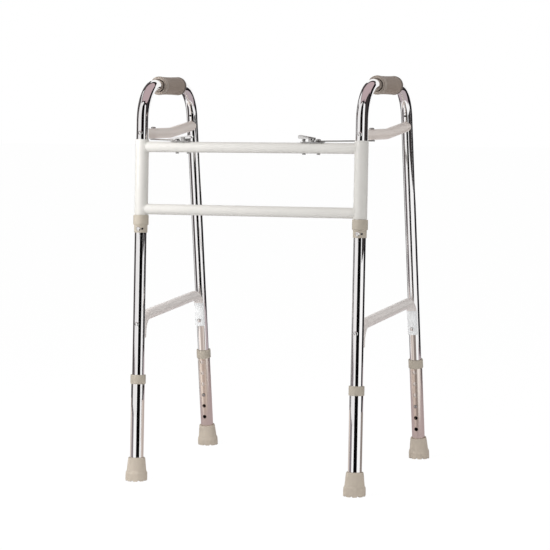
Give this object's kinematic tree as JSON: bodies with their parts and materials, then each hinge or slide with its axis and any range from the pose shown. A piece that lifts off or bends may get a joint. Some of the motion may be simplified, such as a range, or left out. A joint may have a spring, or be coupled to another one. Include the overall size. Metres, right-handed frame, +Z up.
{
  "type": "folding walker",
  "caption": "Folding walking frame: chromed side frames with hand grips, white cross frame with fold locks, height-adjustable legs with rubber feet.",
  "frame": {"origin": "on the floor, at the middle of the box that holds the four feet", "axes": "+Z up, -Y to the front (the crossbars), +X to the viewer's right seen from the front; left and right nodes are named as seen from the front"},
  "size_m": [0.5516, 0.486, 0.8428],
  "materials": {
    "polished_tube": "polished",
    "white_paint": "satin white paint",
    "beige_plastic": "matte",
    "beige_rubber": "matte",
    "taupe_grip": "matte",
    "spring_steel": "plain",
    "plated_steel": "zinc plated"
  },
  "bodies": {
    "front_frame": {"left_sleeve": "white_paint", "right_sleeve": "white_paint", "upper_crossbar": "white_paint", "lower_crossbar": "white_paint", "left_lock_bracket": "plated_steel", "left_lever_pin": "plated_steel", "left_lever_spring": "spring_steel", "left_lock_bolt_outer": "plated_steel", "left_lock_bolt_inner": "plated_steel", "right_lock_bracket": "plated_steel", "right_lever_pin": "plated_steel", "right_lever_spring": "spring_steel", "right_lock_bolt_outer": "plated_steel", "right_lock_bolt_inner": "plated_steel"},
    "left_side_frame": {"left_side_tube": "polished_tube", "left_hand_grip": "taupe_grip", "left_upper_brace": "white_paint", "left_lower_brace": "white_paint", "left_brace_bolt": "plated_steel", "left_rivet_upper_front": "plated_steel", "left_rivet_upper_rear": "plated_steel", "left_rivet_lower_front": "plated_steel", "left_rivet_lower_rear": "plated_steel", "left_sleeve_ring": "beige_plastic", "left_ring_screw": "plated_steel", "front_left_button_spring": "spring_steel", "rear_left_button_spring": "spring_steel"},
    "left_link": {"left_link": "plated_steel"},
    "left_release_lever": {"left_release_lever": "plated_steel"},
    "front_left_leg": {"front_left_extension": "polished_tube", "front_left_collar": "beige_plastic", "front_left_foot": "beige_rubber"},
    "front_left_button": {"front_left_button": "plated_steel"},
    "rear_left_leg": {"rear_left_extension": "polished_tube", "rear_left_collar": "beige_plastic", "rear_left_foot": "beige_rubber"},
    "rear_left_button": {"rear_left_button": "plated_steel"},
    "right_side_frame": {"right_side_tube": "polished_tube", "right_hand_grip": "taupe_grip", "right_upper_brace": "white_paint", "right_lower_brace": "white_paint", "right_brace_bolt": "plated_steel", "right_rivet_upper_front": "plated_steel", "right_rivet_upper_rear": "plated_steel", "right_rivet_lower_front": "plated_steel", "right_rivet_lower_rear": "plated_steel", "right_sleeve_ring": "beige_plastic", "right_ring_screw": "plated_steel", "front_right_button_spring": "spring_steel", "rear_right_button_spring": "spring_steel"},
    "right_link": {"right_link": "plated_steel"},
    "right_release_lever": {"right_release_lever": "plated_steel"},
    "front_right_leg": {"front_right_extension": "polished_tube", "front_right_collar": "beige_plastic", "front_right_foot": "beige_rubber"},
    "front_right_button": {"front_right_button": "plated_steel"},
    "rear_right_leg": {"rear_right_extension": "polished_tube", "rear_right_collar": "beige_plastic", "rear_right_foot": "beige_rubber"},
    "rear_right_button": {"rear_right_button": "plated_steel"}
  },
  "joints": [
    {"name": "left_fold", "type": "hinge", "parent": "front_frame", "child": "left_side_frame", "pos_m": [-0.239, -0.22, 0], "axis": [0, -0.0593, -0.9982], "range_deg": [0, 82]},
    {"name": "left_link_turn", "type": "hinge", "parent": "front_frame", "child": "left_link", "pos_m": [-0.16, -0.17868, 0.7097], "axis": [0, 0, -1], "range_deg": [0, 12.5]},
    {"name": "left_lever_press", "type": "hinge", "parent": "front_frame", "child": "left_release_lever", "pos_m": [-0.145, -0.17868, 0.7138], "axis": [0, 1, 0], "range_deg": [0, 4], "stiffness_Nm_per_rad": 0.05, "springref_deg": -11.46, "deforming": ["left_lever_spring"]},
    {"name": "front_left_height", "type": "slide", "parent": "left_side_frame", "child": "front_left_leg", "axis": [0, -0.0593, -0.9982], "range_m": [-0.052, 0.078], "deforming": ["front_left_button", "front_left_button_spring"]},
    {"name": "front_left_button_press", "type": "slide", "parent": "left_side_frame", "child": "front_left_button", "axis": [0.0314, -0.9977, 0.0593], "range_m": [0, 0.0045], "stiffness_N_per_m": 400, "springref_m": -0.008, "deforming": ["front_left_button_spring"]},
    {"name": "rear_left_height", "type": "slide", "parent": "left_side_frame", "child": "rear_left_leg", "axis": [-0.0059, 0.1304, -0.9914], "range_m": [-0.052, 0.078], "deforming": ["rear_left_button", "rear_left_button_spring"]},
    {"name": "rear_left_button_press", "type": "slide", "parent": "left_side_frame", "child": "rear_left_button", "axis": [-0.0308, 0.991, 0.1306], "range_m": [0, 0.0045], "stiffness_N_per_m": 400, "springref_m": -0.008, "deforming": ["rear_left_button_spring"]},
    {"name": "right_fold", "type": "hinge", "parent": "front_frame", "child": "right_side_frame", "pos_m": [0.239, -0.22, 0], "axis": [0, 0.0593, 0.9982], "range_deg": [0, 41]},
    {"name": "right_link_turn", "type": "hinge", "parent": "front_frame", "child": "right_link", "pos_m": [0.148, -0.17868, 0.7097], "axis": [0, 0, 1], "range_deg": [0, 9.5]},
    {"name": "right_lever_press", "type": "hinge", "parent": "front_frame", "child": "right_release_lever", "pos_m": [0.133, -0.17868, 0.7138], "axis": [0, -1, 0], "range_deg": [0, 8], "stiffness_Nm_per_rad": 0.05, "springref_deg": -11.46, "deforming": ["right_lever_spring"]},
    {"name": "front_right_height", "type": "slide", "parent": "right_side_frame", "child": "front_right_leg", "axis": [0, -0.0593, -0.9982], "range_m": [-0.052, 0.078], "deforming": ["front_right_button", "front_right_button_spring"]},
    {"name": "front_right_button_press", "type": "slide", "parent": "right_side_frame", "child": "front_right_button", "axis": [-0.0314, -0.9977, 0.0593], "range_m": [0, 0.0045], "stiffness_N_per_m": 400, "springref_m": -0.008, "deforming": ["front_right_button_spring"]},
    {"name": "rear_right_height", "type": "slide", "parent": "right_side_frame", "child": "rear_right_leg", "axis": [0.0059, 0.1304, -0.9914], "range_m": [-0.052, 0.078], "deforming": ["rear_right_button", "rear_right_button_spring"]},
    {"name": "rear_right_button_press", "type": "slide", "parent": "right_side_frame", "child": "rear_right_button", "axis": [0.0308, 0.991, 0.1306], "range_m": [0, 0.0045], "stiffness_N_per_m": 400, "springref_m": -0.008, "deforming": ["rear_right_button_spring"]}
  ],
  "couplings": [
    {"joint": "left_link_turn", "follows": "left_fold", "ratio": 0.15},
    {"joint": "right_link_turn", "follows": "right_fold", "ratio": 0.22}
  ]
}
